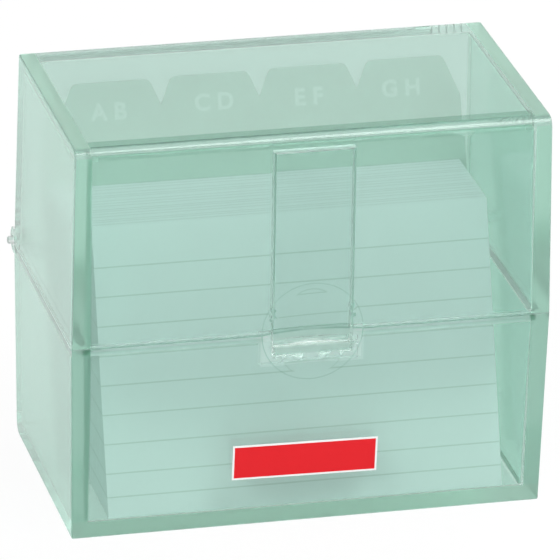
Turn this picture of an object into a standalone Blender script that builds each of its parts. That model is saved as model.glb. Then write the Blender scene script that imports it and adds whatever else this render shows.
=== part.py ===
"""Hinged index card box in clear tinted plastic, filled with ruled cards and tabbed dividers.

Metres, +Z up, front face towards -Y, standing on its floor. The origin is the centre of the
footprint, pins and knuckles included. The lid turns on an empty on the hinge axis, the latch
tongue on an empty at its root, and each pack of leaves on an empty at its own bottom edge.
"""

import math

import bmesh
import bpy

# Box: its width, its depth and the lid's height follow from the leaves that it holds
TRAY_HEIGHT = 0.0537
WALL = 0.0038
FLOOR = 0.0033
ROOF = 0.0033
FIT_GAP = 0.0003

# How far each face leans in between the parting line and the far edge, for the mould
TRAY_SIDE_TAPER = 0.0008
TRAY_FRONT_TAPER = 0.0020
TRAY_BACK_TAPER = 0.0003
LID_SIDE_TAPER = 0.0008
LID_FRONT_TAPER = 0.0007
LID_BACK_TAPER = 0.0014

# Rounded edges
EDGE_RADIUS = 0.0005
INNER_RADIUS = 0.0010
TRAY_HEEL_RADIUS = 0.0035
LID_BROW_RADIUS = 0.0030
EDGE_STEPS = 2
INNER_STEPS = 3
BIG_STEPS = 4

# Half-lap at the parting line: a lip on the lid drops inside the rim of the tray
LAP_DEPTH = 0.0019

# Finger dish, half in the lid and half in the tray
DISH_RADIUS = 0.0133
DISH_DEPTH = 0.0019
DISH_RINGS = 6
DISH_SIDES = 48

# Latch tongue, its pull lip and its catch
TONGUE_WIDTH = 0.0203
TONGUE_THICKNESS = 0.0030
TONGUE_REACH = 0.0061
TONGUE_ROOT_DROP = 0.0010
SLIT = 0.0005
PULL_HEIGHT = 0.0025
PULL_PROUD = 0.0003
PULL_RADIUS = 0.0008
CATCH_RADIUS = 0.0006
CATCH_SINK = 0.0002
CATCH_DROP = 0.0030
CATCH_SIDES = 16
LIP_BREAK = 0.0010

# Keeper: the thicker pad inside the tray that the tongue closes against
KEEPER_CHEEK = 0.0021
KEEPER_WALL = 0.0017
KEEPER_SKIRT = 0.0030

# Hinge: knuckle and pin on the tray, ear on the lid, one pair at each rear corner
HINGE_OFFSET = 0.0025
KNUCKLE_RADIUS = 0.0035
KNUCKLE_LENGTH = 0.0042
EAR_THICKNESS = 0.0030
EAR_INSET = 0.0003
HEEL_REACH = 0.0041
HEEL_RISE = 0.0009
PIN_RADIUS = 0.00105
PIN_PROUD = 0.0012
PIN_CHAMFER = 0.0003
ROUND_SIDES = 40

# Ruled cards, standing on the floor and leaning back
CARD_WIDTH = 0.1050
CARD_HEIGHT = 0.0755
CARD_THICKNESS = 0.00025
CARD_COUNT = 48
CARDS_IN_PACK = 8
LEAF_LEAN = math.radians(17.9)
PILE_SHIFT = 0.0006

# Room round the leaves: beside the dividers at the floor, over the tabs when upright, behind the last tab
LEAF_SIDE_ROOM = 0.0039
LEAF_HEADROOM = 0.0016
LEAF_BACK_GAP = 0.0004

# Dividers with lettered tabs, behind the cards and wider than they are
DIVIDER_NAMES = ("ab", "cd", "ef", "gh")
DIVIDER_PROUD = 0.0020
DIVIDER_HEIGHT = 0.0825
DIVIDER_THICKNESS = 0.00035
TAB_RISE = 0.0170
TAB_TOP_WIDTH = 0.0205
TAB_SLOPE_SHARE = 0.42
TAB_MARGIN = 0.0045
TAB_TOP_RADIUS = 0.0020
SHOULDER_RADIUS = 0.0030
DIVIDER_CORNER_RADIUS = 0.0010
ARC_STEPS = 5

# Sticker on the front of the tray
LABEL_WIDTH = 0.0384
LABEL_HEIGHT = 0.0097
LABEL_THICKNESS = 0.0002
LABEL_CENTRE_HEIGHT = 0.0180
LABEL_SHIFT = -0.0011
LABEL_SKEW = math.radians(-0.8)

# How far a cutter runs past what it cuts
OVERRUN = 0.0040

# Leaves: how far apart they stand along the floor, how high above it, and where the first one starts
DIVIDER_WIDTH = CARD_WIDTH + 2 * DIVIDER_PROUD
TAB_PITCH = (DIVIDER_WIDTH - TAB_TOP_WIDTH - 2 * TAB_MARGIN) / (len(DIVIDER_NAMES) - 1)
LEAF_HEIGHT = DIVIDER_HEIGHT + TAB_RISE
CARD_PITCH = (CARD_THICKNESS + FIT_GAP) / math.cos(LEAF_LEAN)
DIVIDER_PITCH = (DIVIDER_THICKNESS + FIT_GAP) / math.cos(LEAF_LEAN)
CARD_STAND = FLOOR + FIT_GAP + CARD_THICKNESS * math.sin(LEAF_LEAN)
DIVIDER_STAND = FLOOR + FIT_GAP + DIVIDER_THICKNESS * math.sin(LEAF_LEAN)
FILLET_REACH = INNER_RADIUS - math.sqrt(INNER_RADIUS ** 2 - (INNER_RADIUS - FIT_GAP) ** 2)
FIRST_LEAF_INSET = WALL + FIT_GAP + FILLET_REACH

# Heights and width of the box, from the tallest and the widest leaf
LID_BOTTOM = TRAY_HEIGHT + FIT_GAP
LID_TOP = FLOOR + LEAF_HEIGHT + LEAF_HEADROOM + ROOF
LID_HEIGHT = LID_TOP - LID_BOTTOM
BOX_WIDTH = DIVIDER_WIDTH + 2 * (LEAF_SIDE_ROOM + WALL + TRAY_SIDE_TAPER)

# Depth of the box, from its front face to where the last tab leans, and on through the lid's back wall
TAB_REACH = (
    TRAY_FRONT_TAPER * (TRAY_HEIGHT - FLOOR) / TRAY_HEIGHT
    + FIRST_LEAF_INSET
    + CARD_COUNT * CARD_PITCH
    + (len(DIVIDER_NAMES) - 1) * DIVIDER_PITCH
    + DIVIDER_THICKNESS * math.cos(LEAF_LEAN)
    + LEAF_HEIGHT * math.sin(LEAF_LEAN)
)
TAB_RISE_OVER_RIM = FLOOR + FIT_GAP + LEAF_HEIGHT * math.cos(LEAF_LEAN) - LID_BOTTOM
BOX_DEPTH = TAB_REACH + LEAF_BACK_GAP + WALL + LID_BACK_TAPER * TAB_RISE_OVER_RIM / LID_HEIGHT

# Places that follow from the sizes above
TOTAL_DEPTH = PULL_PROUD + BOX_DEPTH + HINGE_OFFSET + HEEL_REACH
FRONT = PULL_PROUD - TOTAL_DEPTH / 2
BACK = FRONT + BOX_DEPTH
HINGE_Y = BACK + HINGE_OFFSET
HINGE_Z = TRAY_HEIGHT + FIT_GAP / 2
TONGUE_TIP = LID_BOTTOM - TONGUE_REACH
WINDOW_TOP = LID_TOP - ROOF - TONGUE_ROOT_DROP
TONGUE_TOP = WINDOW_TOP - FIT_GAP
TONGUE_BACK = FRONT + TONGUE_THICKNESS
POCKET_BACK = TONGUE_BACK + FIT_GAP
POCKET_HALF = TONGUE_WIDTH / 2 + SLIT
KEEPER_HALF = POCKET_HALF + KEEPER_CHEEK
EAR_OUT = BOX_WIDTH / 2 - EAR_INSET
EAR_IN = EAR_OUT - EAR_THICKNESS
KNUCKLE_OUT = EAR_IN - FIT_GAP
KNUCKLE_IN = KNUCKLE_OUT - KNUCKLE_LENGTH
PIN_END = BOX_WIDTH / 2 + PIN_PROUD


def clear_scene():
    for old in list(bpy.data.objects):
        bpy.data.objects.remove(old)


def new_collection(name):
    collection = bpy.data.collections.new(name)
    bpy.context.scene.collection.children.link(collection)
    return collection


def plastic(name, colour, roughness, transmission=0.0):
    material = bpy.data.materials.new(name)
    material.use_nodes = True
    shader = material.node_tree.nodes["Principled BSDF"]
    shader.inputs["Base Color"].default_value = (*colour, 1.0)
    shader.inputs["Roughness"].default_value = roughness
    shader.inputs["Metallic"].default_value = 0.0
    shader.inputs["Transmission Weight"].default_value = transmission
    return material


def add_object(name, data, collection):
    piece = bpy.data.objects.new(name, data)
    collection.objects.link(piece)
    return piece


def mesh_object(name, shape, collection):
    """Turns a finished bmesh into an object."""
    mesh = bpy.data.meshes.new(name)
    shape.to_mesh(mesh)
    shape.free()
    return add_object(name, mesh, collection)


def hide_tool(tool):
    tool.hide_render = True
    tool.display_type = "WIRE"
    return tool


def combine(piece, tool, operation):
    step = piece.modifiers.new(tool.name, "BOOLEAN")
    step.operation = operation
    step.solver = "EXACT"
    step.object = tool


def smooth_round_faces(piece, material):
    piece.data.materials.append(material)
    piece.data.shade_smooth()
    piece.data.set_sharp_from_angle(angle=math.radians(30))


def drafted_block(low, low_z, high, high_z):
    """A box whose foot and head are rectangles (x0, x1, y0, y1) of their own."""
    shape = bmesh.new()
    bmesh.ops.create_cube(shape, size=1.0)
    for corner in shape.verts:
        x0, x1, y0, y1 = high if corner.co.z > 0 else low
        corner.co.z = high_z if corner.co.z > 0 else low_z
        corner.co.x = x1 if corner.co.x > 0 else x0
        corner.co.y = y1 if corner.co.y > 0 else y0
    return shape


def straight_block(x0, x1, y0, y1, z0, z1):
    return drafted_block((x0, x1, y0, y1), z0, (x0, x1, y0, y1), z1)


def bar_along_x(radius, x0, x1, y, z, sides=ROUND_SIDES, chamfer=0.0):
    """A round bar between two values of x, with an optional chamfer on both ends."""
    shape = bmesh.new()
    bmesh.ops.create_cone(
        shape, cap_ends=True, segments=sides, radius1=radius, radius2=radius, depth=abs(x1 - x0)
    )
    if chamfer > 0:
        rims = [edge for edge in shape.edges if edge.calc_face_angle() > math.radians(60)]
        bevel_edges(shape, rims, chamfer, 1)
    for corner in shape.verts:
        along, across, up = corner.co.z, corner.co.x, corner.co.y
        corner.co = ((x0 + x1) / 2 + along, y + across, z + up)
    return shape


def bevel_edges(shape, edges, radius, steps):
    bmesh.ops.bevel(
        shape,
        geom=edges,
        offset=radius,
        offset_type="OFFSET",
        segments=steps,
        profile=0.5,
        affect="EDGES",
        clamp_overlap=True,
    )


def at_height(edge, z):
    return all(abs(corner.co.z - z) < EDGE_RADIUS for corner in edge.verts)


def at_depth(edge, y, reach):
    return all(abs(corner.co.y - y) < reach for corner in edge.verts)


def sharp_edges(shape, but_not_at):
    """Every square edge of a block but those on one level, which stay crisp."""
    return [
        edge
        for edge in shape.edges
        if edge.calc_face_angle() > math.radians(40) and not at_height(edge, but_not_at)
    ]


def tray_outline(z, inset=0.0):
    """Outline of the tray at a height, drawn in by inset."""
    lean = (TRAY_HEIGHT - z) / TRAY_HEIGHT
    half = BOX_WIDTH / 2 - TRAY_SIDE_TAPER * lean - inset
    return (-half, half, FRONT + TRAY_FRONT_TAPER * lean + inset, BACK - TRAY_BACK_TAPER * lean - inset)


def lid_outline(z, inset=0.0):
    """Outline of the lid at a height, drawn in by inset."""
    lean = (z - LID_BOTTOM) / LID_HEIGHT
    half = BOX_WIDTH / 2 - LID_SIDE_TAPER * lean - inset
    return (-half, half, FRONT + LID_FRONT_TAPER * lean + inset, BACK - LID_BACK_TAPER * lean - inset)


def tray_shell(parts, tools):
    """Open tray: a drafted block, hollowed, with the inner half of its rim cut away for the lid."""
    block = drafted_block(tray_outline(0.0), 0.0, tray_outline(TRAY_HEIGHT), TRAY_HEIGHT)
    heel = [edge for edge in block.edges if at_height(edge, 0.0) and at_depth(edge, BACK, WALL)]
    bevel_edges(block, heel, TRAY_HEEL_RADIUS, BIG_STEPS)
    bevel_edges(block, sharp_edges(block, TRAY_HEIGHT), EDGE_RADIUS, EDGE_STEPS)
    tray = mesh_object("base_tray", block, parts)

    top = TRAY_HEIGHT + OVERRUN
    hollow = drafted_block(tray_outline(FLOOR, WALL), FLOOR, tray_outline(top, WALL), top)
    bevel_edges(hollow, sharp_edges(hollow, top), INNER_RADIUS, INNER_STEPS)
    combine(tray, hide_tool(mesh_object("tray_hollow", hollow, tools)), "DIFFERENCE")

    rim = tray_outline(TRAY_HEIGHT, WALL / 2)
    rebate = drafted_block(rim, TRAY_HEIGHT - LAP_DEPTH - FIT_GAP, rim, top)
    corners = [edge for edge in rebate.edges if not at_height(edge, top)]
    upright = [edge for edge in corners if edge.verts[0].co.z != edge.verts[1].co.z]
    bevel_edges(rebate, upright, INNER_RADIUS + WALL / 2, INNER_STEPS)
    combine(tray, hide_tool(mesh_object("tray_rebate", rebate, tools)), "DIFFERENCE")
    return tray


def lid_shell(parts, tools):
    """Hollow lid with a rounded brow in front and a thin lip below its inner half."""
    block = drafted_block(lid_outline(LID_BOTTOM), LID_BOTTOM, lid_outline(LID_TOP), LID_TOP)
    brow = [edge for edge in block.edges if at_height(edge, LID_TOP) and at_depth(edge, FRONT, WALL)]
    bevel_edges(block, brow, LID_BROW_RADIUS, BIG_STEPS)
    bevel_edges(block, sharp_edges(block, LID_BOTTOM), EDGE_RADIUS, EDGE_STEPS)
    lid = mesh_object("lid_cover", block, parts)

    rim = lid_outline(LID_BOTTOM, WALL / 2 + FIT_GAP)
    lip_block = drafted_block(rim, TRAY_HEIGHT - LAP_DEPTH, rim, LID_BOTTOM + LAP_DEPTH)
    upright = [edge for edge in lip_block.edges if edge.verts[0].co.z != edge.verts[1].co.z]
    bevel_edges(lip_block, upright, INNER_RADIUS + WALL / 2, INNER_STEPS)
    lip = hide_tool(mesh_object("lid_lip", lip_block, tools))
    half_break = KEEPER_HALF + LIP_BREAK
    gap = straight_block(
        -half_break, half_break, FRONT - OVERRUN, FRONT + WALL + OVERRUN,
        TRAY_HEIGHT - LAP_DEPTH - OVERRUN, LID_BOTTOM + LAP_DEPTH / 2,
    )
    combine(lip, hide_tool(mesh_object("lip_break", gap, tools)), "DIFFERENCE")
    combine(lid, lip, "UNION")

    foot = LID_BOTTOM - OVERRUN
    hollow = drafted_block(lid_outline(foot, WALL), foot, lid_outline(LID_TOP - ROOF, WALL), LID_TOP - ROOF)
    bevel_edges(hollow, sharp_edges(hollow, foot), INNER_RADIUS, INNER_STEPS)
    combine(lid, hide_tool(mesh_object("lid_hollow", hollow, tools)), "DIFFERENCE")
    return lid


def dish_cutter(tools):
    """Shallow dish, a ball cap turned about its own axis and laid on the front face."""
    ball = (DISH_RADIUS ** 2 + DISH_DEPTH ** 2) / (2 * DISH_DEPTH)
    flare = DISH_RADIUS / (ball - DISH_DEPTH)
    profile = bmesh.new()
    outline = [(0.0, OVERRUN), (DISH_RADIUS + OVERRUN * flare, OVERRUN)]
    for ring in range(DISH_RINGS + 1):
        reach = DISH_RADIUS * (DISH_RINGS - ring) / DISH_RINGS
        outline.append((reach, ball - DISH_DEPTH - math.sqrt(ball ** 2 - reach ** 2)))
    points = [profile.verts.new((across, 0.0, up)) for across, up in outline]
    for first, second in zip(points, points[1:]):
        profile.edges.new((first, second))
    dish = hide_tool(mesh_object("finger_dish", profile, tools))
    turn = dish.modifiers.new("turn", "SCREW")
    turn.steps = DISH_SIDES
    turn.render_steps = DISH_SIDES
    turn.use_merge_vertices = True
    turn.merge_threshold = FIT_GAP / 100
    dish.location = (0.0, FRONT, HINGE_Z)
    dish.rotation_euler = (math.radians(90), 0.0, 0.0)
    return dish


def tongue_window(lid, tools):
    """Slot through the front of the lid, one slit wider than the tongue on each side."""
    low = TRAY_HEIGHT - LAP_DEPTH - OVERRUN
    window = straight_block(
        -POCKET_HALF, POCKET_HALF, FRONT - OVERRUN, FRONT + WALL + OVERRUN, low, WINDOW_TOP
    )
    combine(lid, hide_tool(mesh_object("tongue_window", window, tools)), "DIFFERENCE")


def latch_tongue(parts, tools, dish):
    """Springy strip of the lid's front, dished where the finger lies, with a pull lip and a catch."""
    half = TONGUE_WIDTH / 2
    _, _, low_front, _ = lid_outline(TONGUE_TIP)
    _, _, high_front, _ = lid_outline(TONGUE_TOP)
    low = (-half, half, low_front, low_front + TONGUE_THICKNESS)
    high = (-half, half, high_front, high_front + TONGUE_THICKNESS)
    tongue = mesh_object("latch_tongue", drafted_block(low, TONGUE_TIP, high, TONGUE_TOP), parts)
    combine(tongue, dish, "DIFFERENCE")

    pull = straight_block(
        -half, half, FRONT - PULL_PROUD, TONGUE_BACK - PULL_RADIUS, TONGUE_TIP, TONGUE_TIP + PULL_HEIGHT
    )
    nose = [edge for edge in pull.edges if at_depth(edge, FRONT - PULL_PROUD, EDGE_RADIUS)]
    bevel_edges(pull, nose, PULL_RADIUS, INNER_STEPS)
    combine(tongue, hide_tool(mesh_object("pull_lip", pull, tools)), "UNION")

    catch_y = TONGUE_BACK - CATCH_SINK
    catch_z = LID_BOTTOM - CATCH_DROP
    inner = half - SLIT
    catch = bar_along_x(CATCH_RADIUS, -inner, inner, catch_y, catch_z, CATCH_SIDES)
    combine(tongue, hide_tool(mesh_object("catch_ridge", catch, tools)), "UNION")
    return tongue


def tongue_pocket(tray, tools):
    """Keeper pad inside the tray, the pocket in front of it and the groove for the catch."""
    keeper_foot = TONGUE_TIP - FIT_GAP - KEEPER_SKIRT
    keeper = straight_block(
        -KEEPER_HALF, KEEPER_HALF, FRONT + WALL / 2, POCKET_BACK + KEEPER_WALL, keeper_foot, TRAY_HEIGHT
    )
    combine(tray, hide_tool(mesh_object("latch_keeper", keeper, tools)), "UNION")

    pocket = straight_block(
        -POCKET_HALF, POCKET_HALF, FRONT - OVERRUN, POCKET_BACK, TONGUE_TIP - FIT_GAP, TRAY_HEIGHT + OVERRUN
    )
    combine(tray, hide_tool(mesh_object("tongue_pocket", pocket, tools)), "DIFFERENCE")

    groove_y = TONGUE_BACK - CATCH_SINK
    groove_z = LID_BOTTOM - CATCH_DROP
    groove = bar_along_x(
        CATCH_RADIUS + FIT_GAP, -POCKET_HALF, POCKET_HALF, groove_y, groove_z, CATCH_SIDES
    )
    combine(tray, hide_tool(mesh_object("catch_groove", groove, tools)), "DIFFERENCE")


def hinge_side(tray, lid, tools, side, hand):
    """One rear corner: knuckle, stop heel and pin on the tray, bored ear on the lid."""
    wall_y = BACK - WALL / 2
    foot_z = HINGE_Z - KNUCKLE_RADIUS
    head_z = HINGE_Z + KNUCKLE_RADIUS

    def span(near, far):
        return sorted((side * near, side * far))

    def add(piece, name, shape, operation):
        combine(piece, hide_tool(mesh_object(f"{name}_{hand}", shape, tools)), operation)

    ear_room = bar_along_x(
        KNUCKLE_RADIUS + FIT_GAP, *span(KNUCKLE_OUT, BOX_WIDTH / 2 + OVERRUN), HINGE_Y, HINGE_Z
    )
    add(tray, "ear_room", ear_room, "DIFFERENCE")
    knuckle_room = bar_along_x(
        KNUCKLE_RADIUS + FIT_GAP, *span(KNUCKLE_IN - FIT_GAP, EAR_IN), HINGE_Y, HINGE_Z
    )
    add(lid, "knuckle_room", knuckle_room, "DIFFERENCE")

    barrel = bar_along_x(KNUCKLE_RADIUS, *span(KNUCKLE_IN, KNUCKLE_OUT), HINGE_Y, HINGE_Z)
    add(tray, "knuckle_barrel", barrel, "UNION")
    web = straight_block(*span(KNUCKLE_IN, KNUCKLE_OUT), wall_y, HINGE_Y, foot_z, TRAY_HEIGHT)
    add(tray, "knuckle_web", web, "UNION")
    heel = straight_block(
        *span(KNUCKLE_IN, KNUCKLE_OUT), HINGE_Y, HINGE_Y + HEEL_REACH, foot_z, HINGE_Z + HEEL_RISE
    )
    add(tray, "stop_heel", heel, "UNION")
    pin = bar_along_x(
        PIN_RADIUS, *span(KNUCKLE_OUT - PIN_RADIUS, PIN_END), HINGE_Y, HINGE_Z, chamfer=PIN_CHAMFER
    )
    add(tray, "hinge_pin", pin, "UNION")

    ear = bar_along_x(KNUCKLE_RADIUS, *span(EAR_IN, EAR_OUT), HINGE_Y, HINGE_Z)
    add(lid, "ear_disc", ear, "UNION")
    ear_web = straight_block(*span(EAR_IN, EAR_OUT), wall_y, HINGE_Y, LID_BOTTOM, head_z)
    add(lid, "ear_web", ear_web, "UNION")
    bore = bar_along_x(
        PIN_RADIUS + FIT_GAP, *span(KNUCKLE_OUT, EAR_OUT + OVERRUN), HINGE_Y, HINGE_Z
    )
    add(lid, "ear_bore", bore, "DIFFERENCE")


def rounded_corner(before, corner, after, radius):
    """Points of the arc that rounds one corner of a flat outline."""
    into = (before[0] - corner[0], before[1] - corner[1])
    out = (after[0] - corner[0], after[1] - corner[1])
    into_length = math.hypot(*into)
    out_length = math.hypot(*out)
    into = (into[0] / into_length, into[1] / into_length)
    out = (out[0] / out_length, out[1] / out_length)
    half_angle = math.acos(into[0] * out[0] + into[1] * out[1]) / 2
    reach = radius / math.tan(half_angle)
    centre_reach = radius / math.sin(half_angle)
    middle = (into[0] + out[0], into[1] + out[1])
    middle_length = math.hypot(*middle)
    centre = (
        corner[0] + middle[0] / middle_length * centre_reach,
        corner[1] + middle[1] / middle_length * centre_reach,
    )
    start = (corner[0] + into[0] * reach, corner[1] + into[1] * reach)
    end = (corner[0] + out[0] * reach, corner[1] + out[1] * reach)
    first = math.atan2(start[1] - centre[1], start[0] - centre[0])
    turn = math.atan2(end[1] - centre[1], end[0] - centre[0]) - first
    turn = (turn + math.pi) % (2 * math.pi) - math.pi
    points = []
    for step in range(ARC_STEPS + 1):
        angle = first + turn * step / ARC_STEPS
        points.append((centre[0] + radius * math.cos(angle), centre[1] + radius * math.sin(angle)))
    return points


def divider_outline(tab_x):
    """Corners of a divider with one tab, each with its own radius, from the bottom left round."""
    half = DIVIDER_WIDTH / 2
    tab_half = TAB_TOP_WIDTH / 2
    tab_top = LEAF_HEIGHT
    spread = TAB_SLOPE_SHARE * TAB_RISE
    corners = [(-half, 0.0, DIVIDER_CORNER_RADIUS), (half, 0.0, DIVIDER_CORNER_RADIUS)]
    right_foot = tab_x + tab_half + spread
    left_foot = tab_x - tab_half - spread
    clear = SHOULDER_RADIUS + DIVIDER_CORNER_RADIUS
    if right_foot > half - clear:
        meet = tab_top - (half - tab_x - tab_half) / TAB_SLOPE_SHARE
        corners.append((half, meet, SHOULDER_RADIUS))
    else:
        corners.append((half, DIVIDER_HEIGHT, DIVIDER_CORNER_RADIUS))
        corners.append((right_foot, DIVIDER_HEIGHT, SHOULDER_RADIUS))
    corners.append((tab_x + tab_half, tab_top, TAB_TOP_RADIUS))
    corners.append((tab_x - tab_half, tab_top, TAB_TOP_RADIUS))
    if left_foot < clear - half:
        meet = tab_top - (half + tab_x - tab_half) / TAB_SLOPE_SHARE
        corners.append((-half, meet, SHOULDER_RADIUS))
    else:
        corners.append((left_foot, DIVIDER_HEIGHT, SHOULDER_RADIUS))
        corners.append((-half, DIVIDER_HEIGHT, DIVIDER_CORNER_RADIUS))
    outline = []
    for index, corner in enumerate(corners):
        before = corners[index - 1]
        after = corners[(index + 1) % len(corners)]
        outline.extend(rounded_corner(before[:2], corner[:2], after[:2], corner[2]))
    return outline


def divider_leaf(name, tab_x, parts):
    """Flat leaf cut to the divider's outline, drawn upright with its front bottom edge at the origin."""
    curve = bpy.data.curves.new(name, "CURVE")
    curve.dimensions = "2D"
    curve.fill_mode = "BOTH"
    curve.extrude = DIVIDER_THICKNESS / 2
    outline = divider_outline(tab_x)
    spline = curve.splines.new("POLY")
    spline.points.add(len(outline) - 1)
    for point, (across, up) in zip(spline.points, outline):
        point.co = (across, up, 0.0, 1.0)
    spline.use_cyclic_u = True
    return add_object(name, curve, parts)


def hang(piece, carrier):
    """Ties a piece that is drawn in the box's frame to a carrier, without moving it."""
    piece.parent = carrier
    piece.matrix_parent_inverse = carrier.matrix_world.inverted()


def carrier_at(name, x, y, z, parts):
    carrier = add_object(name, None, parts)
    carrier.location = (x, y, z)
    bpy.context.view_layer.update()
    return carrier


def card_packs(parts, card_stock):
    """Packs of cards, each on an empty along the front bottom edge of its first card."""
    sheet = straight_block(-CARD_WIDTH / 2, CARD_WIDTH / 2, 0.0, CARD_THICKNESS, 0.0, CARD_HEIGHT)
    mesh = bpy.data.meshes.new("index_card")
    sheet.to_mesh(mesh)
    sheet.free()
    mesh.materials.append(card_stock)
    _, _, first_y, _ = tray_outline(FLOOR, FIRST_LEAF_INSET)
    carrier = None
    for number in range(CARD_COUNT):
        offset = (number % CARDS_IN_PACK) * CARD_PITCH
        if offset == 0.0:
            pack = number // CARDS_IN_PACK + 1
            pack_y = first_y + number * CARD_PITCH
            carrier = carrier_at(f"card_pack_{pack}", PILE_SHIFT, pack_y, CARD_STAND, parts)
        card = add_object(f"index_card_{number + 1:02d}", mesh, parts)
        card.parent = carrier
        card.location = (0.0, offset, 0.0)
        card.rotation_euler = (-LEAF_LEAN, 0.0, 0.0)
    return first_y + CARD_COUNT * CARD_PITCH


def dividers(parts, pile_end, tab_stock):
    """Dividers behind the cards, on one empty along the front bottom edge of the first."""
    carrier = carrier_at("divider_pack", PILE_SHIFT, pile_end, DIVIDER_STAND, parts)
    middle = (len(DIVIDER_NAMES) - 1) / 2
    for place, letters in enumerate(DIVIDER_NAMES):
        leaf = divider_leaf(f"divider_{letters}", (place - middle) * TAB_PITCH, parts)
        leaf.data.materials.append(tab_stock)
        leaf.parent = carrier
        half = DIVIDER_THICKNESS / 2
        y = place * DIVIDER_PITCH + half * math.cos(LEAF_LEAN)
        leaf.location = (0.0, y, -half * math.sin(LEAF_LEAN))
        leaf.rotation_euler = (math.radians(90) - LEAF_LEAN, 0.0, 0.0)


def front_label(parts, tray, sticker):
    """Thin sticker on the sloping front of the tray, a hair askew."""
    half_width = LABEL_WIDTH / 2
    half_height = LABEL_HEIGHT / 2
    plate = straight_block(-half_width, half_width, -LABEL_THICKNESS, 0.0, -half_height, half_height)
    label = mesh_object("front_label", plate, parts)
    label.data.materials.append(sticker)
    _, _, face_y, _ = tray_outline(LABEL_CENTRE_HEIGHT)
    label.location = (LABEL_SHIFT, face_y - FIT_GAP, LABEL_CENTRE_HEIGHT)
    slope = math.atan2(TRAY_FRONT_TAPER, TRAY_HEIGHT)
    label.rotation_euler = (slope, -LABEL_SKEW, 0.0)
    label.parent = tray


def build():
    clear_scene()
    parts = new_collection("index_card_box")
    tools = new_collection("cutters")

    tray_plastic = plastic("tray clear mint plastic", (0.50, 0.78, 0.68), 0.06, 1.0)
    lid_plastic = plastic("lid clear mint plastic", (0.50, 0.78, 0.68), 0.06, 1.0)
    tongue_plastic = plastic("tongue clear mint plastic", (0.47, 0.75, 0.65), 0.06, 1.0)
    card_stock = plastic("white ruled card", (0.88, 0.88, 0.85), 0.85)
    tab_stock = plastic("grey divider board", (0.62, 0.66, 0.64), 0.85)
    sticker = plastic("red gloss label", (0.78, 0.03, 0.05), 0.35)

    tray = tray_shell(parts, tools)
    lid = lid_shell(parts, tools)
    dish = dish_cutter(tools)
    for side, hand in ((-1, "left"), (1, "right")):
        hinge_side(tray, lid, tools, side, hand)
    tongue_window(lid, tools)
    combine(lid, dish, "DIFFERENCE")
    tongue_pocket(tray, tools)
    combine(tray, dish, "DIFFERENCE")
    tongue = latch_tongue(parts, tools, dish)
    smooth_round_faces(tray, tray_plastic)
    smooth_round_faces(lid, lid_plastic)
    smooth_round_faces(tongue, tongue_plastic)

    hinge = carrier_at("lid_hinge", 0.0, HINGE_Y, HINGE_Z, parts)
    hang(lid, hinge)
    root_y = lid_outline(TONGUE_TOP)[2] + TONGUE_THICKNESS / 2
    root = carrier_at("tongue_root", 0.0, root_y, TONGUE_TOP, parts)
    hang(tongue, root)
    hang(root, hinge)

    pile_end = card_packs(parts, card_stock)
    dividers(parts, pile_end, tab_stock)
    front_label(parts, tray, sticker)
    bpy.context.view_layer.update()


build()
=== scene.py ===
"""Hinged index card box in clear mint-green plastic, on a white ground, as in the photograph."""

import math

import bmesh
import bpy
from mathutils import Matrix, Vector


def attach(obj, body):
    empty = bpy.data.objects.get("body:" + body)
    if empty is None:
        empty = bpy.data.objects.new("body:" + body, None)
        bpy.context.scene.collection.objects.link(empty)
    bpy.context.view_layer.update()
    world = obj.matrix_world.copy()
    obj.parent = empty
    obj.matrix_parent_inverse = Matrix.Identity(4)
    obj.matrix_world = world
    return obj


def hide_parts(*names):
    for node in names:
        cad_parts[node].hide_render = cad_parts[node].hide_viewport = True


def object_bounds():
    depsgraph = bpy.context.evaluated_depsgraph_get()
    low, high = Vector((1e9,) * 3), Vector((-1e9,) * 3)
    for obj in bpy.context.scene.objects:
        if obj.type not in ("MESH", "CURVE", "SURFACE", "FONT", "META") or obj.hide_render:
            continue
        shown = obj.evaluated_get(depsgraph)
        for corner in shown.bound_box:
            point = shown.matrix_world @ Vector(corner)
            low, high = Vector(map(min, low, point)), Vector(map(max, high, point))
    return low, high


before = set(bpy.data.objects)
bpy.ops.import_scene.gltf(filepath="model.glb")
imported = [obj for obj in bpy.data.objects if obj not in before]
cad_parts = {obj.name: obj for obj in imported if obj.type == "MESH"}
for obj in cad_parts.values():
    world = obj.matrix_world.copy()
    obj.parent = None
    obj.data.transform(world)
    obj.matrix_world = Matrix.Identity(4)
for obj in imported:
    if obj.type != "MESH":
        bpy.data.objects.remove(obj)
cad_low, cad_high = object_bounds()


# The tray is one injection moulding in clear polystyrene with a mint tint, open at the top. Its
# skin is polished by the mould. Along its edges the light runs through far more plastic, which
# makes the walls look darker there; that darkening is painted shade in the skin's colour, and
# the skin also carries painted light and shade at laps, slits, rims, corners and the brow.
WALL_TINT = (0.645, 0.80, 0.745, 1.0)
# The side walls get a painted tone of their own, standing in for how light falls through them at a
# graze.
SIDE_PAINTED_TONE = (0.553, 0.83, 0.728, 1.0)
# The walls' ends seen end-on, and the floor's front edge, are painted darker: painted shade for the
# long path of light through the plastic there.
TRAY_END_PAINTED_SHADE = (0.23, 0.475, 0.36, 1.0)
FLOOR_END_PAINTED_SHADE = (0.25, 0.46, 0.35, 1.0)
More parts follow.
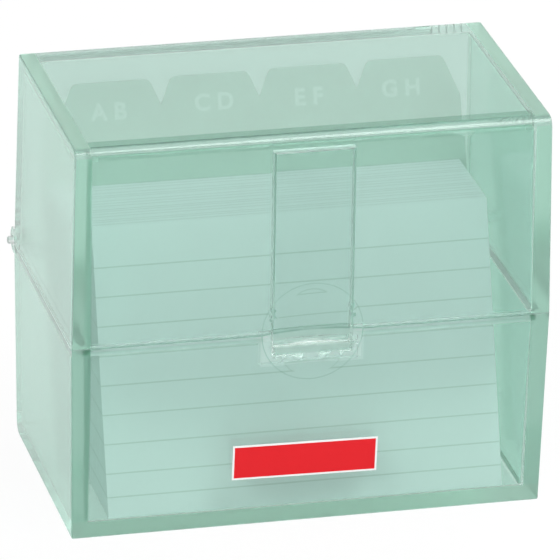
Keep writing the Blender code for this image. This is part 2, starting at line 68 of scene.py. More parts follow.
# Painted light and shade: the rims, laps, latch and the top's side and back bands are painted
# lighter, the line just under the split is a painted highlight, and the dish rim, slits, inner
# corners, the top's front band and the brow are painted darker, all standing in for how light runs
# through the plastic there.
RIM_PAINTED_LIGHT = (0.98, 1.0, 0.99, 1.0)
LAP_PAINTED_LIGHT = (0.76, 0.875, 0.84, 1.0)
SPLIT_SHADE = (0.30, 0.48, 0.41, 1.0)
SPLIT_GLEAM = (1.0, 1.0, 1.0, 1.0)
LATCH_PAINTED_LIGHT = (0.83, 0.93, 0.89, 1.0)
DISH_RIM_PAINTED_SHADE = (0.42, 0.62, 0.54, 1.0)
SLIT_PAINTED_SHADE = (0.40, 0.62, 0.53, 1.0)
INNER_CORNER_PAINTED_SHADE = (0.40, 0.64, 0.53, 1.0)
TOP_SIDE_PAINTED_LIGHT = (0.66, 0.98, 0.79, 1.0)
TOP_BACK_PAINTED_LIGHT = (0.90, 1.0, 0.97, 1.0)
TOP_FRONT_PAINTED_SHADE = (0.19, 0.42, 0.32, 1.0)
BROW_PAINTED_SHADE = (0.45, 0.66, 0.57, 1.0)
DEEP_TINT = (0.50, 0.80, 0.70, 1.0)
DEEP_DENSITY = 4.0
TRAY_LETS_IN = (0.83, 0.885, 0.87, 1.0)
CLEAR_IOR = 1.50
END_AT_SIDE = 0.0577
END_AT_FRONT = -0.0360
END_AT_BACK = 0.0292
TOP_FRONT_FROM = -0.0326
END_AT_FLOOR = 0.0050
LAP = (0.0517, 0.0542)
LATCH = (0.0448, 0.0542)
LATCH_HALF = 0.0137
SLIT_HALF = 0.0115
ROOT = (0.1015, 0.1050)
BROW_FROM = 0.1030
SPLIT = (0.0536, 0.0541)
GLEAM = (0.0529, 0.0536)
DISH_CENTRE_HEIGHT = 0.05385
DISH_RADIUS = 0.0133
DISH_LINE_HALF = 0.00018
SIDE_WALL_FROM = 0.056
OUTER_FACE = -0.0372
INNER_FACE = -0.0352
LATCH_BACK = -0.030
ROOT_BACK = -0.034
BROW_BACK = -0.0335
ROOF_FROM = 0.105
CORNER_FROM_SIDE = 0.0555
CORNER_TO_SIDE = 0.0618
CORNER_TO_FLOOR = 0.0068
SOFT_EDGE = 0.0004
FINE_EDGE = 0.0002
HAIRLINE = 0.00005


def clear_moulding(node, name):
    """A smooth-shaded copy of a moulded solid, whose flat faces still shade flat."""
    skin = bmesh.new()
    skin.from_mesh(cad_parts[node].data)
    bmesh.ops.remove_doubles(skin, verts=skin.verts, dist=0.000001)
    bmesh.ops.dissolve_limit(
        skin, angle_limit=math.radians(0.3), verts=skin.verts, edges=skin.edges
    )
    mesh = bpy.data.meshes.new(name)
    skin.to_mesh(mesh)
    skin.free()
    mesh.materials.clear()
    mesh.shade_smooth()
    mesh.set_sharp_from_angle(angle=math.radians(32))
    piece = bpy.data.objects.new(name, mesh)
    bpy.context.scene.collection.objects.link(piece)
    even = piece.modifiers.new("flat faces stay flat", "WEIGHTED_NORMAL")
    even.keep_sharp = True
    even.weight = 100
    return piece


def maths_node(tree, operation, *values):
    """Adds a math node to a tree, fed with numbers or with other nodes' outputs."""
    node = tree.nodes.new("ShaderNodeMath")
    node.operation = operation
    for socket, value in zip(node.inputs, values):
        if isinstance(value, (int, float)):
            socket.default_value = value
        else:
            tree.links.new(value, socket)
    return node.outputs[0]


def ramp_node(tree, value, start, end, low=0.0, high=1.0):
    """Adds a ramp to a tree, which gives low until the start and high from the end on."""
    ramp = tree.nodes.new("ShaderNodeMapRange")
    for name, number in (("From Min", start), ("From Max", end), ("To Min", low), ("To Max", high)):
        ramp.inputs[name].default_value = number
    tree.links.new(value, ramp.inputs["Value"])
    return ramp.outputs["Result"]


def mix_node(tree, share, under, over):
    """Adds a colour mix to a tree, which shows the second colour as far as the share goes."""
    mix = tree.nodes.new("ShaderNodeMix")
    mix.data_type = "RGBA"
    for name, colour in (("A", under), ("B", over)):
        if isinstance(colour, tuple):
            mix.inputs[name].default_value = colour
        else:
            tree.links.new(colour, mix.inputs[name])
    tree.links.new(share, mix.inputs["Factor"])
    return mix.outputs["Result"]


def level_node(tree, colour, level):
    """Adds a node to a tree that multiplies a colour by a level."""
    shade = tree.nodes.new("ShaderNodeVectorMath")
    shade.operation = "SCALE"
    tree.links.new(colour, shade.inputs[0])
    tree.links.new(level, shade.inputs["Scale"])
    return shade.outputs["Vector"]


def group_node(tree, group, place, **values):
    """Places a shared effect in a material and sets its named inputs."""
    node = tree.nodes.new("ShaderNodeGroup")
    node.node_tree = group
    node.location = place
    for name, value in values.items():
        node.inputs[name.replace("_", " ")].default_value = value
    return node


def moulded_skin():
    """Shared effect: the plastic's tint and gloss, with painted light and shade at walls' ends,
    laps and edges.
    """
    group = bpy.data.node_groups.new("moulded clear skin", "ShaderNodeTree")
    face = group.interface
    for name, value in (("Cloud Size", 26.0), ("Gloss", 0.03), ("Wear", 0.3), ("End Blur", 0.3)):
        socket = face.new_socket(name, in_out="INPUT", socket_type="NodeSocketFloat")
        socket.default_value = value
    tint = face.new_socket("Tint", in_out="INPUT", socket_type="NodeSocketColor")
    tint.default_value = WALL_TINT
    ends = face.new_socket("End Tint", in_out="INPUT", socket_type="NodeSocketColor")
    ends.default_value = TRAY_END_PAINTED_SHADE
    face.new_socket("Color", in_out="OUTPUT", socket_type="NodeSocketColor")
    face.new_socket("Roughness", in_out="OUTPUT", socket_type="NodeSocketFloat")
    nodes, links = group.nodes, group.links
    given = nodes.new("NodeGroupInput")
    out = nodes.new("NodeGroupOutput")
    where = nodes.new("ShaderNodeTexCoord")
    place = nodes.new("ShaderNodeSeparateXYZ")
    facing = nodes.new("ShaderNodeSeparateXYZ")
    links.new(where.outputs["Object"], place.inputs[0])
    links.new(where.outputs["Normal"], facing.inputs[0])

    def maths(operation, *values):
        return maths_node(group, operation, *values)

    def beyond(value, limit, soft):
        """1 past a limit and 0 before it, on a short ramp."""
        return ramp_node(group, value, limit, limit + soft)

    def both(first, second):
        return maths("MULTIPLY", first, second)

    def either(first, second):
        return maths("MAXIMUM", first, second)

    def between(value, limits, soft):
        return both(beyond(value, limits[0], soft), beyond(value, limits[1], -soft))

    def faces(axis, least, soft):
        """1 where a face looks along an axis, either way."""
        return beyond(maths("ABSOLUTE", facing.outputs[axis]), least, soft)

    across = maths("ABSOLUTE", place.outputs["X"])
    depth = place.outputs["Y"]
    height = place.outputs["Z"]
    at_side = beyond(across, END_AT_SIDE, SOFT_EDGE)
    short_of_side = beyond(across, END_AT_SIDE, -SOFT_EDGE)
    at_floor = beyond(height, END_AT_FLOOR, -SOFT_EDGE)
    at_back = beyond(depth, END_AT_BACK, SOFT_EDGE)
    outer = beyond(depth, OUTER_FACE, -SOFT_EDGE)
    in_tongue = beyond(across, SLIT_HALF, -FINE_EDGE)
    at_front = beyond(depth, END_AT_FRONT, -SOFT_EDGE)
    front_face = both(beyond(facing.outputs["Y"], -0.8, -0.05), at_front)
    level_face = faces("Z", 0.8, 0.05)
    flat = either(either(faces("X", 0.94, 0.03), faces("Y", 0.94, 0.03)), faces("Z", 0.94, 0.03))
    curved = maths("SUBTRACT", 1.0, flat)

    sides = both(faces("X", 0.8, 0.05), beyond(across, SIDE_WALL_FROM, 0.001))
    side_ends = both(front_face, at_side)
    floor_ends = both(front_face, at_floor)
    rims = both(level_face, either(at_side, at_back))
    lap = both(between(height, LAP, FINE_EDGE), maths("SUBTRACT", 1.0, side_ends))
    lap_ends = both(lap, at_side)
    latch = both(between(height, LATCH, FINE_EDGE), beyond(across, LATCH_HALF, -FINE_EDGE))
    latch = both(latch, beyond(depth, LATCH_BACK, -0.001))
    behind_latch = both(latch, beyond(depth, OUTER_FACE, SOFT_EDGE))
    slits = both(both(faces("X", 0.5, 0.05), in_tongue), beyond(height, LATCH[1], FINE_EDGE))
    near_corner = either(
        beyond(across, CORNER_FROM_SIDE, 0.0005), beyond(height, CORNER_TO_FLOOR, -0.0003)
    )
    inner_corners = both(both(curved, beyond(depth, INNER_FACE, FINE_EDGE)), near_corner)
    inner_corners = both(inner_corners, beyond(across, CORNER_TO_SIDE, -SOFT_EDGE))
    brow = both(beyond(depth, BROW_BACK, -SOFT_EDGE), beyond(height, BROW_FROM, 0.0003))
    brow = both(brow, curved)
    on_top = both(level_face, beyond(height, ROOF_FROM, 0.001))
    top_sides = both(on_top, at_side)
    top_back = both(on_top, at_back)
    top_front = both(on_top, beyond(depth, TOP_FRONT_FROM, -0.0003))
    root = both(both(in_tongue, beyond(depth, ROOT_BACK, -SOFT_EDGE)), level_face)
    root = both(root, between(height, ROOT, FINE_EDGE))
    split = both(outer, between(height, SPLIT, HAIRLINE))
    gleam_height = both(beyond(height, GLEAM[0], 2 * HAIRLINE), beyond(height, GLEAM[1], -HAIRLINE))
    gleam_width = both(beyond(across, SLIT_HALF, FINE_EDGE), short_of_side)
    gleam = both(both(outer, gleam_height), gleam_width)
    below = maths("SUBTRACT", height, DISH_CENTRE_HEIGHT)
    radius = maths("SQRT", maths("ADD", both(across, across), both(below, below)))
    off_rim = maths("ABSOLUTE", maths("SUBTRACT", radius, DISH_RADIUS))
    dish_line = both(beyond(off_rim, DISH_LINE_HALF, -0.0001), beyond(across, 0.02, -0.001))
    dish_rim = both(dish_line, outer)

    clouds = nodes.new("ShaderNodeTexNoise")
    clouds.inputs["Detail"].default_value = 1.5
    clouds.inputs["Roughness"].default_value = 0.35
    links.new(where.outputs["Object"], clouds.inputs["Vector"])
    links.new(given.outputs["Cloud Size"], clouds.inputs["Scale"])
    cloudy = ramp_node(group, clouds.outputs["Fac"], 0.3, 0.7, 0.985, 1.0)
    coloured = level_node(group, given.outputs["Tint"], cloudy)
    # Paints light and shade by place: darker bands, lines and corners as painted shade, lighter
    # rims, laps, latch and top bands as painted light, and a painted highlight just under the
    # split.
    for mask, colour in (
        (sides, SIDE_PAINTED_TONE), (side_ends, given.outputs["End Tint"]), (floor_ends, FLOOR_END_PAINTED_SHADE),
        (rims, RIM_PAINTED_LIGHT), (top_front, TOP_FRONT_PAINTED_SHADE), (top_back, TOP_BACK_PAINTED_LIGHT),
        (top_sides, TOP_SIDE_PAINTED_LIGHT), (inner_corners, INNER_CORNER_PAINTED_SHADE), (lap, LAP_PAINTED_LIGHT),
        (lap_ends, RIM_PAINTED_LIGHT), (latch, LATCH_PAINTED_LIGHT), (slits, SLIT_PAINTED_SHADE), (root, RIM_PAINTED_LIGHT),
        (brow, BROW_PAINTED_SHADE), (split, SPLIT_SHADE), (gleam, SPLIT_GLEAM), (dish_rim, DISH_RIM_PAINTED_SHADE),
    ):
        coloured = mix_node(group, mask, coloured, colour)
    links.new(coloured, out.inputs["Color"])

    stretch = nodes.new("ShaderNodeMapping")
    stretch.inputs["Rotation"].default_value = (0.3, 0.9, 0.5)
    stretch.inputs["Scale"].default_value = (900.0, 18.0, 60.0)
    hair = nodes.new("ShaderNodeTexNoise")
    hair.inputs["Scale"].default_value = 1.0
    hair.inputs["Detail"].default_value = 3.0
    links.new(where.outputs["Object"], stretch.inputs["Vector"])
    links.new(stretch.outputs["Vector"], hair.inputs["Vector"])
    scratches = both(beyond(hair.outputs["Fac"], 0.66, 0.08), given.outputs["Wear"])
    gloss = maths("ADD", both(scratches, 0.12), given.outputs["Gloss"])
    blurred = either(either(side_ends, floor_ends), top_sides)
    gloss = maths("ADD", gloss, both(blurred, given.outputs["End Blur"]))
    soft_curves = both(curved, maths("SUBTRACT", 1.0, brow))
    for mask, amount in (
        (sides, 0.12), (lap, 0.30), (behind_latch, 0.35), (slits, 0.36), (root, 0.40), (brow, 0.12),
        (soft_curves, 0.22), (inner_corners, 0.25),
    ):
        gloss = maths("ADD", gloss, both(mask, amount))
    links.new(gloss, out.inputs["Roughness"])
    return group


SKIN = moulded_skin()


def mint_plastic(name, tint, end_painted_shade, wear, let_in):
    """Clear mint plastic. Lamp light passes through it to what is inside."""
    material = bpy.data.materials.new(name)
    material.use_nodes = True
    tree = material.node_tree
    shader = tree.nodes["Principled BSDF"]
    shader.inputs["IOR"].default_value = CLEAR_IOR
    shader.inputs["Metallic"].default_value = 0.0
    shader.inputs["Transmission Weight"].default_value = 1.0
    skin = group_node(tree, SKIN, (-600, 200), Tint=tint, End_Tint=end_painted_shade, Wear=wear)
    tree.links.new(skin.outputs["Color"], shader.inputs["Base Color"])
    tree.links.new(skin.outputs["Roughness"], shader.inputs["Roughness"])

    through = tree.nodes.new("ShaderNodeBsdfTransparent")
    through.inputs["Color"].default_value = let_in
    path = tree.nodes.new("ShaderNodeLightPath")
    pick = tree.nodes.new("ShaderNodeMixShader")
    tree.links.new(path.outputs["Is Shadow Ray"], pick.inputs[0])
    tree.links.new(shader.outputs["BSDF"], pick.inputs[1])
    tree.links.new(through.outputs["BSDF"], pick.inputs[2])
    out = tree.nodes["Material Output"]
    tree.links.new(pick.outputs["Shader"], out.inputs["Surface"])
    bulk = tree.nodes.new("ShaderNodeVolumeAbsorption")
    bulk.inputs["Color"].default_value = DEEP_TINT
    bulk.inputs["Density"].default_value = DEEP_DENSITY
    tree.links.new(bulk.outputs["Volume"], out.inputs["Volume"])
    return material


tray = clear_moulding("base_tray", "tray_moulding")
tray.data.materials.append(
    mint_plastic("tray clear mint plastic", WALL_TINT, TRAY_END_PAINTED_SHADE, 0.35, TRAY_LETS_IN)
)
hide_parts("base_tray")
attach(tray, "tray")


# The lid is a second moulding in the same plastic, hinged on the tray's pins at the rear. Its
# front brow is rounded, and a slot in its front holds the latch tongue.
LID_LETS_IN = (0.632, 0.674, 0.67, 1.0)
# The lid's walls' ends get their own painted shade, lighter than the tray's.
LID_END_PAINTED_SHADE = (0.345, 0.67, 0.51, 1.0)
lid = clear_moulding("lid_cover", "lid_moulding")
lid.data.materials.append(
    mint_plastic("lid clear mint plastic", WALL_TINT, LID_END_PAINTED_SHADE, 0.35, LID_LETS_IN)
)
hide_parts("lid_cover")
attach(lid, "lid")


# The latch tongue is the strip of the lid's front between two slits. The finger dish thins it,
# and its pull lip and catch are moulded on.
TONGUE_TINT = (0.60, 0.76, 0.705, 1.0)
tongue = clear_moulding("latch_tongue", "tongue_moulding")
tongue.data.materials.append(
    mint_plastic("tongue clear mint plastic", TONGUE_TINT, LID_END_PAINTED_SHADE, 0.5, LID_LETS_IN)
)
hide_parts("latch_tongue")
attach(tongue, "tongue")


# The index cards are smooth white card, ruled on the front with fine grey lines. They lean back
# together, so a card's own height is its height above the floor over the cosine of the lean.
LEAN = math.radians(17.9)
CARD_FOOT = 0.003677
RULING_PITCH = 0.0076
RULING_BASE = 0.0040
RULING_LOWEST = 0.0055
RULING_COUNT = 8
RULING_WIDTH = 0.00028
CARD_WHITE = (0.86, 0.86, 0.88, 1.0)
RULING_GREY = (0.66, 0.71, 0.69, 1.0)
# Some cards, listed below, are a darker white, which draws fine lines along the top of the pile.
DARKER_CARD_WHITE = (0.755, 0.765, 0.77, 1.0)
# The cards' top and side edges are painted a brighter white: painted light on the edges.
EDGE_PAINTED_LIGHT = (0.98, 0.99, 1.0, 1.0)
CARD_COUNT = 48
DARKER_CARDS = (2, 5, 7, 11, 14, 17, 19, 23, 26, 29, 33, 35, 38, 42, 45)


def card_rulings():
    """Shared effect: level rulings at a steady pitch up a leaning sheet, the lowest closer."""
    group = bpy.data.node_groups.new("ruled lines", "ShaderNodeTree")
    face = group.interface
    for name, value in (
        ("Foot", CARD_FOOT), ("Lean Cosine", math.cos(LEAN)), ("Pitch", RULING_PITCH),
        ("Base", RULING_BASE), ("Lowest", RULING_LOWEST), ("Width", RULING_WIDTH),
    ):
        socket = face.new_socket(name, in_out="INPUT", socket_type="NodeSocketFloat")
        socket.default_value = value
    face.new_socket("Line", in_out="OUTPUT", socket_type="NodeSocketFloat")
    nodes, links = group.nodes, group.links
    given = nodes.new("NodeGroupInput")
    out = nodes.new("NodeGroupOutput")
    where = nodes.new("ShaderNodeTexCoord")
    split = nodes.new("ShaderNodeSeparateXYZ")
    links.new(where.outputs["Object"], split.inputs[0])

    def maths(operation, *values):
        return maths_node(group, operation, *values)

    risen = maths("SUBTRACT", split.outputs["Z"], given.outputs["Foot"])
    up_card = maths("DIVIDE", risen, given.outputs["Lean Cosine"])
    from_base = maths("SUBTRACT", up_card, given.outputs["Base"])
    nearest = maths("ROUND", maths("DIVIDE", from_base, given.outputs["Pitch"]))
    counted = maths("MINIMUM", maths("MAXIMUM", nearest, 1.0), float(RULING_COUNT))
    line_up = maths("MULTIPLY", counted, given.outputs["Pitch"])
    off_line = maths("ABSOLUTE", maths("SUBTRACT", from_base, line_up))
    off_lowest = maths("ABSOLUTE", maths("SUBTRACT", up_card, given.outputs["Lowest"]))
    distance = maths("MINIMUM", off_line, off_lowest)
    fade = maths("SUBTRACT", 1.0, maths("DIVIDE", distance, given.outputs["Width"]))
    links.new(maths("MAXIMUM", fade, 0.0), out.inputs["Line"])
    return group


def paper_fibre():
    """Shared effect: cloudy fibres that mottle a sheet's colour and roughen its face."""
    group = bpy.data.node_groups.new("paper fibre", "ShaderNodeTree")
    face = group.interface
    sheet = face.new_socket("Sheet", in_out="INPUT", socket_type="NodeSocketColor")
    sheet.default_value = CARD_WHITE
    mottle = face.new_socket("Mottle", in_out="INPUT", socket_type="NodeSocketFloat")
    mottle.default_value = 0.03
    face.new_socket("Color", in_out="OUTPUT", socket_type="NodeSocketColor")
    face.new_socket("Height", in_out="OUTPUT", socket_type="NodeSocketFloat")
    nodes, links = group.nodes, group.links
    given = nodes.new("NodeGroupInput")
    out = nodes.new("NodeGroupOutput")
    where = nodes.new("ShaderNodeTexCoord")
    fibre = nodes.new("ShaderNodeTexNoise")
    fibre.inputs["Scale"].default_value = 900.0
    fibre.inputs["Detail"].default_value = 4.0
    cloud = nodes.new("ShaderNodeTexNoise")
    cloud.inputs["Scale"].default_value = 90.0
    cloud.inputs["Detail"].default_value = 2.0
    for noise in (fibre, cloud):
        links.new(where.outputs["Object"], noise.inputs["Vector"])
    together = maths_node(group, "ADD", fibre.outputs["Fac"], cloud.outputs["Fac"])
    centred = maths_node(group, "SUBTRACT", together, 1.0)
    gain = maths_node(group, "MULTIPLY_ADD", centred, given.outputs["Mottle"], 1.0)
    links.new(level_node(group, given.outputs["Sheet"], gain), out.inputs["Color"])
    links.new(fibre.outputs["Fac"], out.inputs["Height"])
    return group


FIBRE = paper_fibre()


def sheet_material(name, colour, mottle):
    """Uncoated card: matt, faintly mottled, with a fine tooth."""
    material = bpy.data.materials.new(name)
    material.use_nodes = True
    tree = material.node_tree
    shader = tree.nodes["Principled BSDF"]
    shader.inputs["Roughness"].default_value = 0.7
    shader.inputs["Specular IOR Level"].default_value = 0.3
    fibre = group_node(tree, FIBRE, (-700, 200), Sheet=colour, Mottle=mottle)
    relief = tree.nodes.new("ShaderNodeBump")
    relief.inputs["Strength"].default_value = 0.15
    relief.inputs["Distance"].default_value = 0.00005
    tree.links.new(fibre.outputs["Height"], relief.inputs["Height"])
    tree.links.new(relief.outputs["Normal"], shader.inputs["Normal"])
    tree.links.new(fibre.outputs["Color"], shader.inputs["Base Color"])
    return material


RULINGS = card_rulings()
ruled = sheet_material("white ruled card", CARD_WHITE, 0.03)
tree = ruled.node_tree
lines = group_node(tree, RULINGS, (-700, -200))
where = tree.nodes.new("ShaderNodeTexCoord")
facing = tree.nodes.new("ShaderNodeSeparateXYZ")
tree.links.new(where.outputs["Normal"], facing.inputs[0])
to_side = maths_node(tree, "ABSOLUTE", facing.outputs["X"])
cut_edge = ramp_node(tree, maths_node(tree, "MAXIMUM", facing.outputs["Z"], to_side), 0.6, 0.7)
card_colour = tree.nodes["Principled BSDF"].inputs["Base Color"]
# The top and side edges take the brighter white as painted light.
edges_painted_light = mix_node(tree, cut_edge, card_colour.links[0].from_socket, EDGE_PAINTED_LIGHT)
tree.links.new(mix_node(tree, lines.outputs["Line"], edges_painted_light, RULING_GREY), card_colour)
darker_card = ruled.copy()
darker_card.name = "darker ruled card"
for node in darker_card.node_tree.nodes:
    if node.type == "GROUP" and node.node_tree == FIBRE:
        node.inputs["Sheet"].default_value = DARKER_CARD_WHITE
for number in range(CARD_COUNT):
    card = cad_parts[f"index_card_{number + 1:02d}"]
    card.data.materials.clear()
    card.data.materials.append(darker_card if number in DARKER_CARDS else ruled)


# The first card's rulings are the ones that show whole. They are printed edge to edge in grey
# ink, each a thin raised strip on the card's face.
INK_LENGTH = 0.1048
INK_THICKNESS = 0.00002
INK_FOOT = (0.0006, -0.03306, 0.00368)


def ruling_strips(ink):
    """A node tree that repeats one ink strip up the card."""
    tree = bpy.data.node_groups.new("printed rulings", "GeometryNodeTree")
    face = tree.interface
    face.new_socket("Geometry", in_out="OUTPUT", socket_type="NodeSocketGeometry")
    for name, kind, value in (
        ("Lines", "NodeSocketInt", RULING_COUNT), ("Pitch", "NodeSocketFloat", RULING_PITCH),
        ("First", "NodeSocketFloat", RULING_BASE + RULING_PITCH),
        ("Lowest", "NodeSocketFloat", RULING_LOWEST),
        ("Width", "NodeSocketFloat", RULING_WIDTH), ("Length", "NodeSocketFloat", INK_LENGTH),
        ("Foot", "NodeSocketVector", INK_FOOT), ("Lean", "NodeSocketFloat", LEAN),
    ):
        face.new_socket(name, in_out="INPUT", socket_type=kind).default_value = value
    nodes, links = tree.nodes, tree.links
    given = nodes.new("NodeGroupInput")

    def vector(**parts):
        node = nodes.new("ShaderNodeCombineXYZ")
        for axis, value in parts.items():
            if isinstance(value, float):
                node.inputs[axis].default_value = value
            else:
                links.new(value, node.inputs[axis])
        return node.outputs[0]

    strip = nodes.new("GeometryNodeMeshCube")
    size = vector(X=given.outputs["Length"], Y=INK_THICKNESS, Z=given.outputs["Width"])
    links.new(size, strip.inputs["Size"])
    rows = nodes.new("GeometryNodeMeshLine")
    links.new(given.outputs["Lines"], rows.inputs["Count"])
    links.new(vector(Z=given.outputs["First"]), rows.inputs["Start Location"])
    links.new(vector(Z=given.outputs["Pitch"]), rows.inputs["Offset"])
    repeated = nodes.new("GeometryNodeInstanceOnPoints")
    links.new(rows.outputs["Mesh"], repeated.inputs["Points"])
    links.new(strip.outputs["Mesh"], repeated.inputs["Instance"])
    lowest = nodes.new("GeometryNodeTransform")
    links.new(strip.outputs["Mesh"], lowest.inputs["Geometry"])
    links.new(vector(Z=given.outputs["Lowest"]), lowest.inputs["Translation"])
    together = nodes.new("GeometryNodeJoinGeometry")
    links.new(repeated.outputs["Instances"], together.inputs[0])
    links.new(lowest.outputs["Geometry"], together.inputs[0])
    leaned = nodes.new("GeometryNodeTransform")
    links.new(together.outputs[0], leaned.inputs["Geometry"])
    links.new(given.outputs["Foot"], leaned.inputs["Translation"])
    back = maths_node(tree, "MULTIPLY", given.outputs["Lean"], -1.0)
    links.new(vector(X=back), leaned.inputs["Rotation"])
    real = nodes.new("GeometryNodeRealizeInstances")
    links.new(leaned.outputs["Geometry"], real.inputs["Geometry"])
    inked = nodes.new("GeometryNodeSetMaterial")
    inked.inputs["Material"].default_value = ink
    links.new(real.outputs["Geometry"], inked.inputs["Geometry"])
    out = nodes.new("NodeGroupOutput")
    links.new(inked.outputs["Geometry"], out.inputs["Geometry"])
    return tree


ink_material = sheet_material("grey ruling ink", RULING_GREY, 0.06)
carrier = bpy.data.objects.new("ruling_carrier", bpy.data.meshes.new("ruling_carrier"))
bpy.context.scene.collection.objects.link(carrier)
strips = carrier.modifiers.new("printed rulings", "NODES")
strips.node_group = ruling_strips(ink_material)
sockets = strips.node_group.interface.items_tree
inputs = {item.name: item.identifier for item in sockets if item.in_out == "INPUT"}
strips[inputs["Lines"]] = RULING_COUNT
strips[inputs["Pitch"]] = RULING_PITCH
made = carrier.evaluated_get(bpy.context.evaluated_depsgraph_get())
rulings = bpy.data.objects.new("first_card_rulings", bpy.data.meshes.new_from_object(made))
bpy.data.objects.remove(carrier)
bpy.context.scene.collection.objects.link(rulings)
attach(rulings, "card_pack_1")


# The dividers are thicker grey-green board with a tab each, cut from one sheet. A pair of
# letters is printed on each tab in a paler ink.
BOARD_GREY = (0.55, 0.64, 0.59, 1.0)
LETTER_PALE = (0.68, 0.745, 0.71, 1.0)
LETTER_HEIGHT = 0.0046
LETTER_SPREAD = 1.6
LETTER_BOLDNESS = 0.032
LETTER_UP_SHEET = 0.0943
LETTER_RELIEF = 0.01
TAB_LETTERS = (
    ("AB", -0.0401, -0.0006), ("CD", -0.0117, 0.0), ("EF", 0.0140, -0.0005), ("GH", 0.0390, 0.0),
)
FIRST_TAB_PLANE = 0.006189
NEXT_TAB_BACK = 0.00065
board = sheet_material("grey-green divider board", BOARD_GREY, 0.05)
for letters in ("ab", "cd", "ef", "gh"):
    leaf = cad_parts[f"divider_{letters}"]
    leaf.data.materials.clear()
    leaf.data.materials.append(board)

up_sheet = Vector((0.0, math.sin(LEAN), math.cos(LEAN)))
off_sheet = Vector((0.0, -math.cos(LEAN), math.sin(LEAN)))
print_run = bmesh.new()
for number, (letters, centre_x, shift_up) in enumerate(TAB_LETTERS):
    text = bpy.data.curves.new(f"tab {letters}", "FONT")
    text.body = letters
    text.offset = LETTER_BOLDNESS
    text.space_character = LETTER_SPREAD
    text.extrude = LETTER_RELIEF
    typed = bpy.data.objects.new(f"tab {letters}", text)
    bpy.context.scene.collection.objects.link(typed)
    typeset = typed.evaluated_get(bpy.context.evaluated_depsgraph_get())
    flat = bpy.data.meshes.new_from_object(typeset)
    bpy.data.objects.remove(typed)
    lows = [min(point.co[axis] for point in flat.vertices) for axis in (0, 1)]
    highs = [max(point.co[axis] for point in flat.vertices) for axis in (0, 1)]
    scale = LETTER_HEIGHT / (highs[1] - lows[1])
    plane = FIRST_TAB_PLANE - number * NEXT_TAB_BACK
    for point in flat.vertices:
        across = (point.co.x - (lows[0] + highs[0]) / 2) * scale + centre_x
        rise = (point.co.y - (lows[1] + highs[1]) / 2) * scale + LETTER_UP_SHEET + shift_up
        proud = INK_THICKNESS * (0.5 + 0.5 * point.co.z / LETTER_RELIEF)
        point.co = Vector((across, 0.0, 0.0)) + up_sheet * rise + off_sheet * (plane + proud)
    print_run.from_mesh(flat)
    bpy.data.meshes.remove(flat)
bmesh.ops.remove_doubles(print_run, verts=print_run.verts, dist=0.000001)
letter_mesh = bpy.data.meshes.new("tab_letters")
print_run.to_mesh(letter_mesh)
print_run.free()
letter_mesh.materials.append(sheet_material("pale tab ink", LETTER_PALE, 0.04))
tab_letters = bpy.data.objects.new("tab_letters", letter_mesh)
bpy.context.scene.collection.objects.link(tab_letters)
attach(tab_letters, "divider_pack")


# The label is a red printed sticker with a white border, stuck a hair askew on the tray's front.
# Inside the border it is plain red.
LABEL_RED = (0.775, 0.011, 0.018, 1.0)
LABEL_WHITE = (0.90, 0.90, 0.90, 1.0)
LABEL_CENTRE = (-0.0011, 0.0, 0.0180)
LABEL_SKEW = math.radians(0.8)
LABEL_HALF_WIDTH = 0.0192
LABEL_HALF_HEIGHT = 0.00485
BORDER = 0.0005
sticker = sheet_material("red printed sticker", LABEL_RED, 0.03)
tree = sticker.node_tree
sticker_shader = tree.nodes["Principled BSDF"]
sticker_shader.inputs["Roughness"].default_value = 0.45
sticker_shader.inputs["Specular IOR Level"].default_value = 0.2
where = tree.nodes.new("ShaderNodeTexCoord")
centred = tree.nodes.new("ShaderNodeMapping")
centred.vector_type = "TEXTURE"
centred.inputs["Location"].default_value = LABEL_CENTRE
centred.inputs["Rotation"].default_value = (0.0, LABEL_SKEW, 0.0)
split = tree.nodes.new("ShaderNodeSeparateXYZ")
tree.links.new(where.outputs["Object"], centred.inputs["Vector"])
tree.links.new(centred.outputs["Vector"], split.inputs[0])
margins = []
for axis, half in (("X", LABEL_HALF_WIDTH), ("Z", LABEL_HALF_HEIGHT)):
    off_middle = maths_node(tree, "ABSOLUTE", split.outputs[axis])
    margins.append(maths_node(tree, "GREATER_THAN", off_middle, half - BORDER))
bordered = maths_node(tree, "MAXIMUM", *margins)
label_colour = sticker_shader.inputs["Base Color"]
plain = label_colour.links[0].from_socket
tree.links.new(mix_node(tree, bordered, plain, LABEL_WHITE), label_colour)
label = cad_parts["front_label"]
label.data.materials.clear()
label.data.materials.append(sticker)


# The ground is a plain white sheet that runs on to the horizon and keeps a faint shadow.
GROUND_HALF = 6.0
GROUND_HEIGHT = -0.0004
GROUND_GLOW = 0.93
GROUND_IN_GLOSS = 0.6


def seen_share(tree, in_gloss):
    """1 for rays from the camera or through the plastic, a share for reflections, else 0."""
    path = tree.nodes.new("ShaderNodeLightPath")
    share = maths_node(tree, "MULTIPLY", path.outputs["Is Glossy Ray"], in_gloss)
    for kind in ("Is Camera Ray", "Is Transmission Ray"):
        share = maths_node(tree, "ADD", share, path.outputs[kind])
        share.node.use_clamp = True
    return share


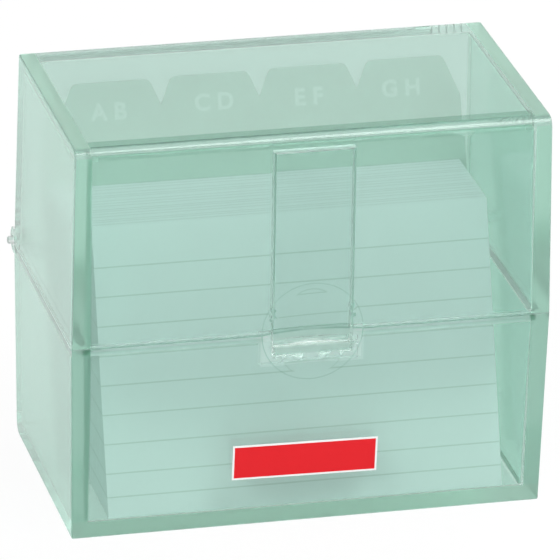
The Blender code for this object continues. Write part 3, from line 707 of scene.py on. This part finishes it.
floor_mesh = bpy.data.meshes.new("ground")
sheet = bmesh.new()
bmesh.ops.create_grid(sheet, x_segments=2, y_segments=2, size=GROUND_HALF)
sheet.to_mesh(floor_mesh)
sheet.free()
floor = bpy.data.objects.new("ground", floor_mesh)
bpy.context.scene.collection.objects.link(floor)
ground = bpy.data.materials.new("white ground")
ground.use_nodes = True
tree = ground.node_tree
lit = tree.nodes["Principled BSDF"]
lit.inputs["Base Color"].default_value = (0.92, 0.92, 0.92, 1.0)
lit.inputs["Roughness"].default_value = 0.9
glow = tree.nodes.new("ShaderNodeEmission")
amount = maths_node(tree, "MULTIPLY", seen_share(tree, GROUND_IN_GLOSS), GROUND_GLOW)
blend = tree.nodes.new("ShaderNodeMixShader")
tree.links.new(amount, blend.inputs[0])
tree.links.new(lit.outputs["BSDF"], blend.inputs[1])
tree.links.new(glow.outputs["Emission"], blend.inputs[2])
tree.links.new(blend.outputs["Shader"], tree.nodes["Material Output"].inputs["Surface"])
floor.data.materials.append(ground)
floor.location = (0.0, 0.0, GROUND_HEIGHT)


# Soft studio light: an even white room, with one large panel over the left shoulder, a smaller
# one to the right, and one behind that lights from the rear, unseen in reflections and through
# the plastic.
ROOM_LIGHT = 0.52
world = bpy.data.worlds.new("white room")
bpy.context.scene.world = world
world.use_nodes = True
tree = world.node_tree
room = tree.nodes["Background"]
room.inputs["Color"].default_value = (1.0, 1.0, 1.0, 1.0)
strength = ramp_node(tree, seen_share(tree, 1.0), 0.0, 1.0, ROOM_LIGHT, 1.0)
tree.links.new(strength, room.inputs["Strength"])


def soft_panel(name, place, size, power):
    lamp = bpy.data.lights.new(name, "AREA")
    lamp.shape = "SQUARE"
    lamp.size = size
    lamp.energy = power
    holder = bpy.data.objects.new(name, lamp)
    holder.location = place
    away = holder.location - cad_low.lerp(cad_high, 0.5)
    holder.rotation_euler = away.to_track_quat("Z", "Y").to_euler()
    bpy.context.scene.collection.objects.link(holder)
    return holder


left = soft_panel("panel left", place=(-1.1, -0.9, 1.2), size=1.0, power=9.5)
left.visible_glossy = False
soft_panel("panel over the front", place=(0.54, -0.52, 1.22), size=0.7, power=9.0)
behind = soft_panel("panel behind", place=(0.75, 1.25, 0.85), size=1.2, power=10.0)
behind.visible_glossy = False
behind.visible_transmission = False


# The camera stands a little to the left, well back with a long lens, looking down on the box.
CAMERA_PLACE = (-0.40062, -1.59844, 0.74773)
CAMERA_TURN = (67.103, -1.027, -13.671)
LENS_LENGTH = 440.9
lens = bpy.data.cameras.new("long lens")
lens.lens = LENS_LENGTH
lens.sensor_width = 36.0
camera = bpy.data.objects.new("long lens", lens)
camera.location = CAMERA_PLACE
camera.rotation_euler = tuple(math.radians(angle) for angle in CAMERA_TURN)
bpy.context.scene.collection.objects.link(camera)
bpy.context.scene.camera = camera
bpy.context.scene.view_settings.view_transform = "Standard"
bpy.context.scene.cycles.max_bounces = 96
bpy.context.scene.cycles.glossy_bounces = 64
bpy.context.scene.cycles.transmission_bounces = 64
bpy.context.scene.cycles.transparent_max_bounces = 48
